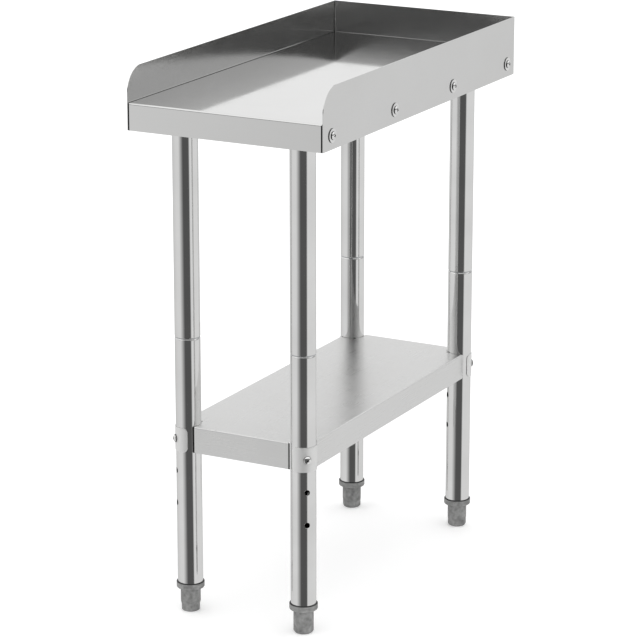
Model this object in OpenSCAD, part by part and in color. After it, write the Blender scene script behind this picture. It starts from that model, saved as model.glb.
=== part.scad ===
// Narrow stainless work table: a folded worktop with a bolted three-sided splash guard,
// four two-piece tube legs, a folded undershelf and screw-adjustable feet.
// Millimetres, +Z up. The origin is on the floor, midway between the four legs.
// The short open end of the worktop faces -Y.

/* [Worktop] */
// Overall length over the splash guard, front to rear
table_l = 636; // [560:2:760]
// Overall width over the two side splash plates
table_w = 316; // [300:2:400]
// Height of the work surface above the floor
top_z = 778; // [700:1:900]
// Depth of the folded skirt
skirt_h = 40; // [36:1:60]
// Width of the return folded inwards at the foot of the skirt
return_w = 10; // [6:1:14]
// Thickness of every folded sheet
sheet_t = 1; // [0.8:0.1:1.2]
// Outside radius of the folded edges
fold_r = 2.5; // [2:0.1:3]

/* [Splash guard] */
// Height of the splash plates above the work surface
splash_rise = 50; // [30:1:120]
// Radius of the front top corner of the side plates
splash_corner_r = 38; // [5:1:45]
// Width of the flange that turns each side plate round the rear corner
flange_w = 22; // [20:1:30]
// Distance of the end screws from the ends of a side plate
screw_end = 27; // [24:1:40]
// Number of screws along each side plate
side_screws = 4; // [2:1:6]

/* [Legs] */
// Outside diameter of the leg tube
tube_d = 38; // [37:0.5:40]
// Wall thickness of the leg tube
tube_t = 1.2; // [1:0.1:1.5]
// Sideways distance of each leg axis from the middle of the table
leg_x = 96; // [92:1:110]
// Distance of each leg axis from the front and rear ends of the table
leg_inset = 56; // [52:1:90]
// Height of the joint between the upper and the lower tube
seam_z = 427; // [400:1:500]
// Height of the lower end of the leg tube
tube_foot_z = 46; // [44:1:60]
// Height of each leg socket, flange included
socket_h = 21; // [18:1:22]

/* [Undershelf] */
// Height of the shelf surface above the floor
shelf_z = 293; // [260:1:340]
// How far the shelf skirts stand outboard of the leg axes
shelf_out = 13.5; // [13:0.1:14]
// How far each corner tab reaches round its leg past the far normal, in degrees
tab_past = 25; // [15:1:30]
// Corner radius at the free end of a tab
tab_r = 8; // [5:1:9]
// Diameter of the cross holes through the leg
hole_d = 8.5; // [7:0.1:9]
// Spacing of the cross holes along the leg
hole_pitch = 50; // [40:1:60]
// Number of cross holes in each leg, of which the top one holds the shelf
hole_count = 3; // [1:1:3]

/* [Feet] */
// Diameter of the collar that the leg tube stands on
collar_d = 42; // [40:0.5:44]
// Height of that collar
collar_h = 9.5; // [8:0.5:11]
// Diameter of the round part of the foot barrel
barrel_d = 30; // [28:0.5:32]
// Distance across the flats of the hexagon at the foot of the barrel
hex_af = 27; // [25:0.5:28]
// Height of that hexagon
hex_h = 14; // [10:1:16]
// Diameter of the threaded stem
stem_d = 12; // [10:1:14]
// How far the foot screws out
foot_travel = 24.5; // [10:0.5:24.5]

/* [Hidden] */
$fn = 64;
eps = 0.05;          // overlap that makes a cut clean
fit_gap = 0.05;      // radial clearance of a running fit
slip_gap = 0.3;      // gap between faces that move past each other

// Fasteners, M6
m6_d = 6;
m6_hole_d = 6.6;
head_d = 12.5;
head_h = 3.6;
washer_d = 21;
washer_t = 1.2;
nut_af = 10;
nut_h = 5;
splash_screw_l = 16;
shelf_screw_l = 50;
grub_l = 8;
recess_w = 1.2;      // width of a cross recess arm
recess_l = 6.4;      // length of a cross recess arm
recess_h = 1.8;

// Worktop levels and planes
skirt_z = top_z - skirt_h;
pan_w = table_w - 2 * sheet_t;
pan_l = table_l - 2 * sheet_t;
pan_y = -sheet_t;                    // the rear carries two sheet thicknesses
front_y = -table_l / 2;
rear_y = table_l / 2;
pan_rear_y = rear_y - 2 * sheet_t;
splash_h = skirt_h + splash_rise;
screw_z = skirt_z + skirt_h / 2;
screw_pitch = (table_l - 2 * screw_end) / (side_screws - 1);
side_screw_y = [for (i = [0:side_screws - 1]) front_y + screw_end + i * screw_pitch];
rear_screw_x = table_w / 2 - flange_w / 2 - 1;

// Channels and sockets under the worktop
channel_w = 66;
channel_h = 15;
channel_lip = 9;
channel_t = 1.2;
channel_end = 17;                    // distance from a channel's end to the end of the pan
channel_l = pan_l - 2 * channel_end;
channel_z = top_z - sheet_t - channel_h;
socket_plate_t = 3;
socket_plate_w = 60;
socket_d = 46;
socket_z = channel_z - socket_h;
tube_top_z = channel_z - socket_plate_t;
grub_z = socket_z + 9;

// Legs
leg_y = table_l / 2 - leg_inset;
tube_bore = tube_d - 2 * tube_t;
coupler_grip = 40;
coupler_ring_h = 1.5;
coupler_ring_d = tube_d - 1;
coupler_bore = 24;

// Undershelf
shelf_w = 2 * (leg_x + shelf_out);
shelf_l = 2 * (leg_y + shelf_out);
shelf_skirt_h = 40;
shelf_skirt_z = shelf_z - shelf_skirt_h;
shelf_fold_r = 2;
tab_drop = 3;                        // relief between the shelf fold and the tab
tab_h = shelf_skirt_h - tab_drop;
tab_in = tube_d / 2 + 0.1;
tab_out = tab_in + sheet_t;
tab_z = shelf_skirt_z + tab_h / 2;
notch_r = tube_d / 2 + 1;
blend_r = 5;                         // fold between the skirt and its tab
blend_u = shelf_out + blend_r;
blend_v = sqrt(pow(tab_out + blend_r, 2) - pow(blend_u, 2));
blend_a = atan2(blend_v, blend_u);
key_l = 2;                           // a key inside the sheet that joins skirt, fold and tab
corner_lead = 12;                    // angle at which a tab's corner curve meets its edges
stiffener_w = 60;
stiffener_h = 12;
stiffener_end = 30;
stiffener_l = shelf_l - 2 * stiffener_end;
hole_z = [for (i = [0:hole_count - 1]) tab_z - i * hole_pitch];

// Feet
collar_z = tube_foot_z - collar_h;
insert_grip = 24;
barrel_top_z = collar_z - slip_gap;
stem_foot_z = 12;
stem_hold = 23;                      // stem still held by the insert when the foot is right out
stem_l = collar_z + foot_travel + stem_hold - stem_foot_z;

// Corners: [sign of X, sign of Y], the direction of the outward diagonal, and how far the foot is turned
FL = 0;
FR = 1;
RL = 2;
RR = 3;
corner = [[-1, -1], [1, -1], [-1, 1], [1, 1]];
diagonal = [-135, -45, 135, 45];
foot_turn = [28, -2, 40, 12];

// ---------- shared shapes ----------

// A block with its top and upright edges rounded, centred on Z with its foot at z = 0
module soft_block(w, l, h, r) {
    translate([-w / 2 + r, -l / 2 + r, 0]) cube([w - 2 * r, l - 2 * r, h]);
    translate([-w / 2, -l / 2 + r, 0]) cube([w, l - 2 * r, h - r]);
    translate([-w / 2 + r, -l / 2, 0]) cube([w - 2 * r, l, h - r]);
    for (sx = [-1, 1], sy = [-1, 1])
        translate([sx * (w / 2 - r), sy * (l / 2 - r), 0]) {
            cylinder(h = h - r, r = r);
            translate([0, 0, h - r]) sphere(r = r);
        }
    for (s = [-1, 1]) {
        translate([s * (w / 2 - r), 0, h - r])
            rotate([90, 0, 0]) cylinder(h = l - 2 * r, r = r, center = true);
        translate([0, s * (l / 2 - r), h - r])
            rotate([0, 90, 0]) cylinder(h = w - 2 * r, r = r, center = true);
    }
}

// A folded tray upside down: a sheet with skirts on all four sides, its top at z = h
module folded_pan(w, l, h, r) {
    difference() {
        soft_block(w, l, h, r);
        translate([0, 0, -eps])
            soft_block(w - 2 * sheet_t, l - 2 * sheet_t, h - sheet_t + eps, r - sheet_t);
    }
}

// A hat channel along Y, its lips against z = 0 and its back at z = -h
module hat_channel(w, l, h) {
    translate([-w / 2, -l / 2, -h]) cube([w, l, channel_t]);
    for (s = [-1, 1]) {
        translate([s * (w / 2 - channel_t / 2), 0, -h / 2])
            cube([channel_t, l, h], center = true);
        translate([s * (w / 2 + channel_lip / 2 - channel_t / 2), 0, -channel_t / 2])
            cube([channel_lip + channel_t, l, channel_t], center = true);
    }
}

// Pan head screw along +X: the underside of the head is at the origin and the shank runs to -X
module pan_screw(l) {
    dome_r = (pow(head_d / 2, 2) + pow(head_h - 1, 2)) / (2 * (head_h - 1));
    difference() {
        rotate([0, 90, 0]) union() {
            translate([0, 0, -l]) cylinder(h = l + 1, d = m6_d);
            cylinder(h = 1, d = head_d);
            intersection() {
                translate([0, 0, 1]) cylinder(h = head_h - 1, d = head_d);
                translate([0, 0, head_h - dome_r]) sphere(r = dome_r);
            }
        }
        for (a = [0, 90]) rotate([a, 0, 0])
            translate([head_h - recess_h, -recess_w / 2, -recess_l / 2])
                cube([recess_h + 1, recess_w, recess_l]);
    }
}

// Flat washer along +X, its inner face at the origin
module washer() {
    rotate([0, 90, 0]) difference() {
        cylinder(h = washer_t, d = washer_d);
        translate([0, 0, -eps]) cylinder(h = washer_t + 2 * eps, d = m6_hole_d);
    }
}

// Hexagon nut along -X, its bearing face at the origin
module nut() {
    rotate([0, -90, 0]) difference() {
        cylinder(h = nut_h, d = nut_af / cos(30), $fn = 6);
        translate([0, 0, -eps]) cylinder(h = nut_h + 2 * eps, d = m6_d + 2 * fit_gap);
    }
}

// Puts its children on a leg axis, turned so that +X is the outward diagonal
module on_leg(i) {
    translate([corner[i][0] * leg_x, corner[i][1] * leg_y, 0])
        rotate([0, 0, diagonal[i]]) children();
}

// Puts its children at each screw of the side plate on side s, +X pointing outwards from its face
module at_side_screws(s) {
    for (y = side_screw_y)
        translate([s * table_w / 2, y, screw_z])
            rotate([0, 0, s > 0 ? 0 : 180]) children();
}

// Puts its children at each rear screw, +X pointing outwards from the sheet that it clamps
module at_rear_screws() {
    for (x = [-rear_screw_x, 0, rear_screw_x])
        translate([x, x == 0 ? rear_y - sheet_t : rear_y, screw_z])
            rotate([0, 0, 90]) children();
}

// ---------- worktop and what is welded under it ----------

// The lip folded inwards at the foot of the skirt
module return_flange() {
    lip_w = pan_w - 2 * sheet_t + 2 * eps;
    lip_l = pan_l - 2 * sheet_t + 2 * eps;
    lip_r = fold_r - sheet_t;
    difference() {
        soft_block(lip_w, lip_l, sheet_t + 2 * lip_r, lip_r);
        translate([0, 0, sheet_t + 2 * lip_r])
            cube([lip_w + 1, lip_l + 1, 4 * lip_r], center = true);
        translate([0, 0, -1])
            cube([lip_w - 2 * return_w, lip_l - 2 * return_w, 4 * fold_r], center = true);
    }
}

module worktop() {
    color("gainsboro") difference() {
        union() {
            translate([0, pan_y, skirt_z]) folded_pan(pan_w, pan_l, skirt_h, fold_r);
            translate([0, pan_y, skirt_z]) return_flange();
        }
        for (s = [-1, 1]) at_side_screws(s)
            rotate([0, 90, 0]) cylinder(h = 8, d = m6_hole_d, center = true);
        at_rear_screws() rotate([0, 90, 0]) cylinder(h = 8, d = m6_hole_d, center = true);
    }
}

module channel(s) {
    color("silver") translate([s * leg_x, pan_y, top_z - sheet_t])
        hat_channel(channel_w, channel_l, channel_h);
}

module leg_socket(i) {
    color("silver") on_leg(i) difference() {
        union() {
            rotate([0, 0, -diagonal[i]])
                translate([0, 0, channel_z - socket_plate_t / 2])
                    cube([socket_plate_w, socket_plate_w, socket_plate_t], center = true);
            translate([0, 0, socket_z]) cylinder(h = socket_h - 1, d = socket_d);
        }
        translate([0, 0, socket_z - eps])
            cylinder(h = socket_h - socket_plate_t + eps, d = tube_d + 0.2);
        translate([0, 0, grub_z]) rotate([0, -90, 0])
            cylinder(h = socket_d, d = m6_d + 2 * fit_gap);
    }
}

module socket_grub_screws() {
    color("darkgray") for (i = [FL:RR])
        on_leg(i) translate([-tube_d / 2 - 0.1, 0, grub_z]) rotate([0, -90, 0]) difference() {
            cylinder(h = grub_l, d = m6_d);
            translate([0, 0, grub_l - 3]) cylinder(h = 4, d = 3 / cos(30), $fn = 6);
        }
}

// ---------- splash guard ----------

// Outline of a side plate in its own plane: length along X, height along Y, front at the origin
module side_outline(l) {
    difference() {
        square([l, splash_h]);
        translate([-1, splash_h - splash_corner_r])
            square([splash_corner_r + 1, splash_corner_r + 1]);
    }
    intersection() {
        translate([splash_corner_r, splash_h - splash_corner_r]) circle(r = splash_corner_r);
        translate([0, splash_h - splash_corner_r])
            square([splash_corner_r + 1, splash_corner_r]);
    }
}

module splash_side(s) {
    color("gainsboro") mirror([s > 0 ? 0 : 1, 0, 0]) difference() {
        union() {
            translate([table_w / 2, front_y, skirt_z]) rotate([90, 0, -90]) mirror([1, 0, 0])
                linear_extrude(sheet_t) side_outline(table_l - fold_r);
            translate([table_w / 2 - fold_r, rear_y - fold_r, skirt_z])
                rotate_extrude(angle = 90)
                    translate([fold_r - sheet_t, 0]) square([sheet_t, splash_h]);
            translate([table_w / 2 - flange_w, rear_y - sheet_t, skirt_z])
                cube([flange_w - fold_r, sheet_t, splash_h]);
        }
        at_side_screws(1) rotate([0, 90, 0]) cylinder(h = 8, d = m6_hole_d, center = true);
        at_rear_screws() rotate([0, 90, 0]) cylinder(h = 8, d = m6_hole_d, center = true);
    }
}

module splash_rear() {
    rear_w = pan_w - 2 * fold_r + sheet_t;
    color("gainsboro") difference() {
        translate([-rear_w / 2, pan_rear_y, skirt_z]) cube([rear_w, sheet_t, splash_h]);
        at_rear_screws() rotate([0, 90, 0]) cylinder(h = 8, d = m6_hole_d, center = true);
    }
}

module splash_screws_side(s) {
    color("white") at_side_screws(s) translate([washer_t, 0, 0]) pan_screw(splash_screw_l);
}

module splash_washers_side(s) {
    color("silver") at_side_screws(s) washer();
}

module splash_nuts_side(s) {
    color("darkgray") at_side_screws(s) translate([-2 * sheet_t, 0, 0]) nut();
}

module splash_screws_rear() {
    color("white") at_rear_screws() translate([washer_t, 0, 0]) pan_screw(splash_screw_l);
}

module splash_washers_rear() {
    color("silver") at_rear_screws() washer();
}

module splash_nuts_rear() {
    color("darkgray") for (x = [-rear_screw_x, 0, rear_screw_x])
        translate([x, pan_rear_y - sheet_t, screw_z]) rotate([0, 0, 90]) nut();
}

// ---------- legs ----------

module tube(z0, z1) {
    translate([0, 0, z0]) difference() {
        cylinder(h = z1 - z0, d = tube_d);
        translate([0, 0, -eps]) cylinder(h = z1 - z0 + 2 * eps, d = tube_bore);
    }
}

module leg_upper(i) {
    color("lightgray") on_leg(i) tube(seam_z + coupler_ring_h / 2, tube_top_z);
}

module leg_lower(i) {
    color("lightgray") on_leg(i) difference() {
        tube(tube_foot_z, seam_z - coupler_ring_h / 2);
        for (z = hole_z) translate([0, 0, z])
            rotate([0, 90, 0]) cylinder(h = 2 * tube_d, d = hole_d, center = true);
    }
}

module leg_coupler(i) {
    color("darkgray") on_leg(i) translate([0, 0, seam_z]) difference() {
        union() {
            cylinder(h = 2 * coupler_grip, d = tube_bore - 2 * fit_gap, center = true);
            cylinder(h = coupler_ring_h, d = coupler_ring_d, center = true);
        }
        cylinder(h = 2 * coupler_grip + 1, d = coupler_bore, center = true);
    }
}

// ---------- undershelf ----------

// Takes the corner at the free end off a tab: the block outside a quarter circle of radius tab_r.
// +X is radial, +Y runs along the tab and away from its free end, +Z points at the edge.
module tab_corner() {
    inset = tab_r * cos(corner_lead);
    difference() {
        translate([0, -1, -inset]) cube([2 * tab_out, inset + 1, inset + 1]);
        translate([-1, inset, -inset]) rotate([0, 90, 0])
            cylinder(h = 2 * tab_out + 2, r = tab_r);
    }
}

// A key half as thick as the sheet, centred at the origin, along Y
module sheet_key() {
    cube([sheet_t / 2, key_l, tab_h - 2 * key_l], center = true);
}

// The tab that wraps round a leg. The skirt that it grows from has +X as its outward normal
// and runs off along +Y; the leg axis is the origin.
module wrap_tab() {
    end_a = -90 - tab_past;
    half_a = asin(tab_r / 2 / tab_out);
    translate([0, 0, shelf_skirt_z]) {
        difference() {
            rotate([0, 0, end_a]) rotate_extrude(angle = blend_a - end_a)
                translate([tab_in, 0]) square([sheet_t, tab_h]);
            for (top = [0, 1])
                translate([0, 0, top * tab_h]) mirror([0, 0, 1 - top])
                    rotate([0, 0, end_a + half_a]) translate([0, -tab_r / 2, 0]) tab_corner();
            rotate([0, 90, -45]) translate([-tab_h / 2, 0, 0])
                cylinder(h = 2 * tab_out, d = m6_hole_d);
        }
        translate([blend_u, blend_v, 0]) rotate([0, 0, 180])
            rotate_extrude(angle = blend_a)
                translate([blend_r, 0]) square([sheet_t, tab_h]);
        translate([shelf_out - sheet_t / 2, blend_v, tab_h / 2]) sheet_key();
        rotate([0, 0, blend_a]) translate([tab_in + sheet_t / 2, 0, tab_h / 2]) sheet_key();
    }
}

module shelf() {
    color("gainsboro") union() {
        difference() {
            translate([0, 0, shelf_skirt_z])
                folded_pan(shelf_w, shelf_l, shelf_skirt_h, shelf_fold_r);
            for (c = corner) translate([c[0] * leg_x, c[1] * leg_y, shelf_skirt_z - 1])
                cylinder(h = shelf_skirt_h + 2, r = notch_r);
            for (s = [-1, 1]) {
                translate([s * (leg_x + shelf_out), -leg_y, shelf_z - shelf_skirt_h / 2])
                    cube([4, 2 * blend_v, shelf_skirt_h + 2], center = true);
                translate([s * leg_x, leg_y + shelf_out, shelf_z - shelf_skirt_h / 2])
                    cube([2 * blend_v, 4, shelf_skirt_h + 2], center = true);
            }
        }
        for (m = [0, 1]) mirror([m, 0, 0]) {
            translate([leg_x, -leg_y, 0]) wrap_tab();
            translate([leg_x, leg_y, 0]) rotate([0, 0, 90]) wrap_tab();
        }
    }
}

module shelf_stiffener() {
    color("silver") translate([0, 0, shelf_z - sheet_t])
        hat_channel(stiffener_w, stiffener_l, stiffener_h);
}

module shelf_screws() {
    color("white") for (i = [FL:RR])
        on_leg(i) translate([tab_out, 0, tab_z]) pan_screw(shelf_screw_l);
}

module shelf_washers() {
    color("silver") for (i = [FL:RR])
        on_leg(i) translate([-tube_d / 2 - washer_t, 0, tab_z]) washer();
}

module shelf_nuts() {
    color("darkgray") for (i = [FL:RR])
        on_leg(i) translate([-tube_d / 2 - washer_t, 0, tab_z]) nut();
}

// ---------- feet ----------

module foot_insert(i) {
    color("dimgray") on_leg(i) translate([0, 0, collar_z]) difference() {
        union() {
            cylinder(h = collar_h, d = collar_d);
            cylinder(h = collar_h + insert_grip, d = tube_bore - 2 * fit_gap);
        }
        translate([0, 0, -eps])
            cylinder(h = collar_h + insert_grip + 2 * eps, d = stem_d + 2 * fit_gap);
    }
}

module foot_stem(i) {
    color("silver") on_leg(i) translate([0, 0, stem_foot_z]) cylinder(h = stem_l, d = stem_d);
}

// A round barrel with six flats milled into its lower part and a chamfer round its foot
module foot_barrel(i) {
    face_r = hex_af / 2 - 1;             // radius of the face that rests on the floor
    chamfer = barrel_d / 2 - face_r;
    color("gray") on_leg(i) difference() {
        rotate_extrude() polygon([[0, 0], [face_r, 0], [face_r + chamfer, chamfer],
                                  [barrel_d / 2, barrel_top_z], [0, barrel_top_z]]);
        rotate([0, 0, foot_turn[i] - diagonal[i]]) for (k = [0:5]) rotate([0, 0, 60 * k + 30])
            translate([hex_af / 2, -barrel_d / 2, -1]) cube([barrel_d, barrel_d, hex_h + 1]);
        translate([0, 0, stem_foot_z - slip_gap])
            cylinder(h = barrel_top_z, d = stem_d + 2 * fit_gap);
    }
}

// ---------- the nodes ----------

worktop();
channel(-1);  // channel_left
channel(1);  // channel_right
leg_socket(FL);  // leg_socket_fl
leg_socket(FR);  // leg_socket_fr
leg_socket(RL);  // leg_socket_rl
leg_socket(RR);  // leg_socket_rr
socket_grub_screws();
splash_side(-1);  // splash_left
splash_side(1);  // splash_right
splash_rear();
splash_screws_side(-1);  // splash_screws_left
splash_screws_side(1);  // splash_screws_right
splash_screws_rear();
splash_washers_side(-1);  // splash_washers_left
splash_washers_side(1);  // splash_washers_right
splash_washers_rear();
splash_nuts_side(-1);  // splash_nuts_left
splash_nuts_side(1);  // splash_nuts_right
splash_nuts_rear();
leg_upper(FL);  // leg_upper_fl
leg_upper(FR);  // leg_upper_fr
leg_upper(RL);  // leg_upper_rl
leg_upper(RR);  // leg_upper_rr
leg_coupler(FL);  // leg_coupler_fl
leg_coupler(FR);  // leg_coupler_fr
leg_coupler(RL);  // leg_coupler_rl
leg_coupler(RR);  // leg_coupler_rr
leg_lower(FL);  // leg_lower_fl
leg_lower(FR);  // leg_lower_fr
leg_lower(RL);  // leg_lower_rl
leg_lower(RR);  // leg_lower_rr
shelf();
shelf_stiffener();
shelf_screws();
shelf_washers();
shelf_nuts();
foot_insert(FL);  // foot_insert_fl
foot_insert(FR);  // foot_insert_fr
foot_insert(RL);  // foot_insert_rl
foot_insert(RR);  // foot_insert_rr
foot_stem(FL);  // foot_stem_fl
foot_stem(FR);  // foot_stem_fr
foot_stem(RL);  // foot_stem_rl
foot_stem(RR);  // foot_stem_rr
foot_barrel(FL);  // foot_barrel_fl
foot_barrel(FR);  // foot_barrel_fr
foot_barrel(RL);  // foot_barrel_rl
foot_barrel(RR);  // foot_barrel_rr
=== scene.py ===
import math

import bmesh
import bpy
from mathutils import Matrix, Vector


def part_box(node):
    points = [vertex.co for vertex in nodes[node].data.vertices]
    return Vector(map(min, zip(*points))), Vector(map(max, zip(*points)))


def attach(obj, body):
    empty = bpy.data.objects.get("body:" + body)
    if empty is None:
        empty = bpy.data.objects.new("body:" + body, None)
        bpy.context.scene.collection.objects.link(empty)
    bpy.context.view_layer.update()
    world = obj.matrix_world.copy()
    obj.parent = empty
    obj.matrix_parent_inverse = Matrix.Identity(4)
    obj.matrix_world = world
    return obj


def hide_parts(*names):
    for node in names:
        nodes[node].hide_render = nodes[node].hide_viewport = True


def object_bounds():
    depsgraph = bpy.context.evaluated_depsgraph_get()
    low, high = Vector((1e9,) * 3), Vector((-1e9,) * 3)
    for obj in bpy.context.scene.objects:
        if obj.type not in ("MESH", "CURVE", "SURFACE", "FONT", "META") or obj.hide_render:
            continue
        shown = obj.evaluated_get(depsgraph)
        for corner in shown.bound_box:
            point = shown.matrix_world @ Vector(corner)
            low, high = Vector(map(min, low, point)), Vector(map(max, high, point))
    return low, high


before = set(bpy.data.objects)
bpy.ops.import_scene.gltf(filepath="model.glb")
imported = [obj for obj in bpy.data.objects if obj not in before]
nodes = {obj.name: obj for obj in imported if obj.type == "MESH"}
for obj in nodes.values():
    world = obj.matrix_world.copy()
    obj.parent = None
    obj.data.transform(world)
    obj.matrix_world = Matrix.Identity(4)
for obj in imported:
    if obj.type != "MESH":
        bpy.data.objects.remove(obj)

# ---------------------------------------------------------------------------
# The stainless work table's looks. Metres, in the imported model's own frame: +Z up, -Y towards the open
# end of the worktop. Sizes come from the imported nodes' boxes; what the frame can't say is named here.
# ---------------------------------------------------------------------------

MM = 0.001
CORNERS = ("fl", "fr", "rl", "rr")
# Direction of the outward diagonal of each leg, in degrees
DIAGONAL = {"fl": -135, "fr": -45, "rl": 135, "rr": 45}
# How far each foot barrel happens to be turned, in degrees
BARREL_TURN = {"fl": 28, "fr": -2, "rl": 40, "rr": 12}

cad_low, cad_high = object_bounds()


def centre(node):
    """The middle of a CAD node's box."""
    low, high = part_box(node)
    return (low + high) / 2


# ---------------------------------------------------------------------------
# Camera, floor and light
# ---------------------------------------------------------------------------

CAMERA_AZIMUTH = math.radians(28)
CAMERA_PITCH = math.radians(16)
CAMERA_DISTANCE = 4.5
CAMERA_TARGET = Vector((0, -0.03, 0.405))
CAMERA_LENS = 167


def add_camera():
    """The camera, looking at the target from the front and to the right."""
    data = bpy.data.cameras.new("camera")
    data.lens = CAMERA_LENS
    data.sensor_width = 36
    camera = bpy.data.objects.new("camera", data)
    level = math.cos(CAMERA_PITCH)
    back = Vector((math.sin(CAMERA_AZIMUTH) * level, -math.cos(CAMERA_AZIMUTH) * level,
                   math.sin(CAMERA_PITCH)))
    camera.location = CAMERA_TARGET + back * CAMERA_DISTANCE
    camera.rotation_mode = "QUATERNION"
    camera.rotation_quaternion = (-back).to_track_quat("-Z", "Y")
    bpy.context.scene.collection.objects.link(camera)
    bpy.context.scene.camera = camera


def link(tree, source, target):
    """Joins an output socket to an input socket."""
    tree.links.new(source, target)


def node(tree, kind, **settings):
    """A shader node with its properties set; a key that names an input sets that input's value."""
    made = tree.nodes.new(kind)
    for key, value in settings.items():
        if hasattr(made, key):
            setattr(made, key, value)
        else:
            made.inputs[key.replace("_", " ")].default_value = value
    return made


def ramp(tree, source, stops):
    """A grey colour ramp over stops of (position, brightness)."""
    made = node(tree, "ShaderNodeValToRGB")
    made.color_ramp.interpolation = "LINEAR"
    elements = made.color_ramp.elements
    elements[0].position, elements[1].position = stops[0][0], stops[-1][0]
    for position, _ in stops[1:-1]:
        elements.new(position)
    for element, (_, value) in zip(elements, stops):
        element.color = (value, value, value, 1)
    link(tree, source, made.inputs["Fac"])
    return made.outputs["Color"]


# How bright the studio looks to metal, as (degrees round to the right of the camera's side, brightness).
# White walls at both sides, a greyer wall behind, and a dark side at the camera: first below level
STUDIO_LOW = [(-180, 0.6), (-90, 0.8), (-60, 0.8), (-20, 0.1),
              (30, 0.1), (40, 0.8), (120, 0.8), (180, 0.6)]
# from level to 12 degrees up, where the dark side is wider and the back wall is lit
STUDIO_MIDDLE = [(-180, 1.0), (-90, 0.8), (-60, 0.1), (45, 0.1), (120, 0.5), (180, 1.0)]
# and from 19 to 25 degrees up
STUDIO_HIGH = [(-180, 0.7), (-90, 1.0), (-60, 1.0), (-20, 0.1),
               (20, 0.1), (80, 1.0), (120, 1.0), (180, 0.7)]
# The rises of a ray, as its unit direction's Z, over which one band gives way to the next
LOW_TO_MIDDLE = (-0.03, 0.03)
MIDDLE_TO_HIGH = (0.21, 0.33)
HIGH_TO_CEILING = (0.42, 0.62)
STUDIO_ROOM = 1.12      # light on what isn't mirror bright
CEILING = 1.15          # the soft light overhead


def add_studio():
    """The light: an even white room, which metal sees as soft grey walls with a dark side at the camera."""
    world = bpy.data.worlds.new("studio")
    bpy.context.scene.world = world
    world.use_nodes = True
    world.cycles.sampling_method = "NONE"
    tree = world.node_tree
    tree.nodes.clear()
    direction = node(tree, "ShaderNodeSeparateXYZ")
    link(tree, node(tree, "ShaderNodeTexCoord").outputs["Generated"], direction.inputs[0])
    turned = node(tree, "ShaderNodeVectorRotate", rotation_type="Z_AXIS", Angle=-CAMERA_AZIMUTH)
    link(tree, node(tree, "ShaderNodeTexCoord").outputs["Generated"], turned.inputs["Vector"])
    split = node(tree, "ShaderNodeSeparateXYZ")
    link(tree, turned.outputs[0], split.inputs[0])
    flip = node(tree, "ShaderNodeMath", operation="MULTIPLY")
    flip.inputs[1].default_value = -1
    link(tree, split.outputs["Y"], flip.inputs[0])
    angle = node(tree, "ShaderNodeMath", operation="ARCTAN2")
    link(tree, split.outputs["X"], angle.inputs[0])
    link(tree, flip.outputs[0], angle.inputs[1])
    share = node(tree, "ShaderNodeMapRange")
    share.inputs["From Min"].default_value = -math.pi
    share.inputs["From Max"].default_value = math.pi
    link(tree, angle.outputs[0], share.inputs["Value"])
    low = ramp(tree, share.outputs[0], [((a + 180) / 360, v) for a, v in STUDIO_LOW])
    middle = ramp(tree, share.outputs[0], [((a + 180) / 360, v) for a, v in STUDIO_MIDDLE])
    high = ramp(tree, share.outputs[0], [((a + 180) / 360, v) for a, v in STUDIO_HIGH])

    def mix(low_colour, high_colour, rise):
        """One band below a rise and another above it; without another, the ceiling's light."""
        factor = node(tree, "ShaderNodeMapRange", interpolation_type="SMOOTHSTEP")
        factor.inputs["From Min"].default_value = rise[0]
        factor.inputs["From Max"].default_value = rise[1]
        link(tree, direction.outputs["Z"], factor.inputs["Value"])
        made = node(tree, "ShaderNodeMix", data_type="RGBA")
        link(tree, factor.outputs[0], made.inputs[0])
        link(tree, low_colour, made.inputs[6])
        if high_colour is None:
            made.inputs[7].default_value = (CEILING, CEILING, CEILING, 1)
        else:
            link(tree, high_colour, made.inputs[7])
        return made.outputs[2]

    walls = mix(mix(low, middle, LOW_TO_MIDDLE), high, MIDDLE_TO_HIGH)
    seen_by_metal = mix(walls, None, HIGH_TO_CEILING)
    path = node(tree, "ShaderNodeLightPath")
    pick = node(tree, "ShaderNodeMix", data_type="RGBA")
    pick.inputs[6].default_value = (STUDIO_ROOM, STUDIO_ROOM, STUDIO_ROOM, 1)
    link(tree, path.outputs["Is Glossy Ray"], pick.inputs[0])
    link(tree, seen_by_metal, pick.inputs[7])
    background = node(tree, "ShaderNodeBackground")
    link(tree, pick.outputs[2], background.inputs["Color"])
    output = node(tree, "ShaderNodeOutputWorld")
    link(tree, background.outputs[0], output.inputs["Surface"])
    bpy.context.scene.view_settings.view_transform = "Standard"


FLOOR_SIZE = 60
FLOOR_GAP = 0.2 * MM     # between the feet and the floor


def add_floor():
    """A pale floor that takes soft shadows; metal sees the studio through it."""
    mesh = bpy.data.meshes.new("floor")
    bm = bmesh.new()
    bmesh.ops.create_grid(bm, x_segments=1, y_segments=1, size=FLOOR_SIZE / 2)
    bm.to_mesh(mesh)
    bm.free()
    floor = bpy.data.objects.new("floor", mesh)
    floor.location.z = cad_low.z - FLOOR_GAP
    floor.visible_glossy = False
    bpy.context.scene.collection.objects.link(floor)
    material = bpy.data.materials.new("pale_floor")
    material.use_nodes = True
    bsdf = material.node_tree.nodes["Principled BSDF"]
    bsdf.inputs["Base Color"].default_value = (0.93, 0.93, 0.93, 1)
    bsdf.inputs["Roughness"].default_value = 0.9
    bsdf.inputs["Specular IOR Level"].default_value = 0.0
    bsdf.inputs["Emission Color"].default_value = (1, 1, 1, 1)
    bsdf.inputs["Emission Strength"].default_value = 0.22
    mesh.materials.append(material)


# ---------------------------------------------------------------------------
# Materials
# ---------------------------------------------------------------------------

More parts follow.
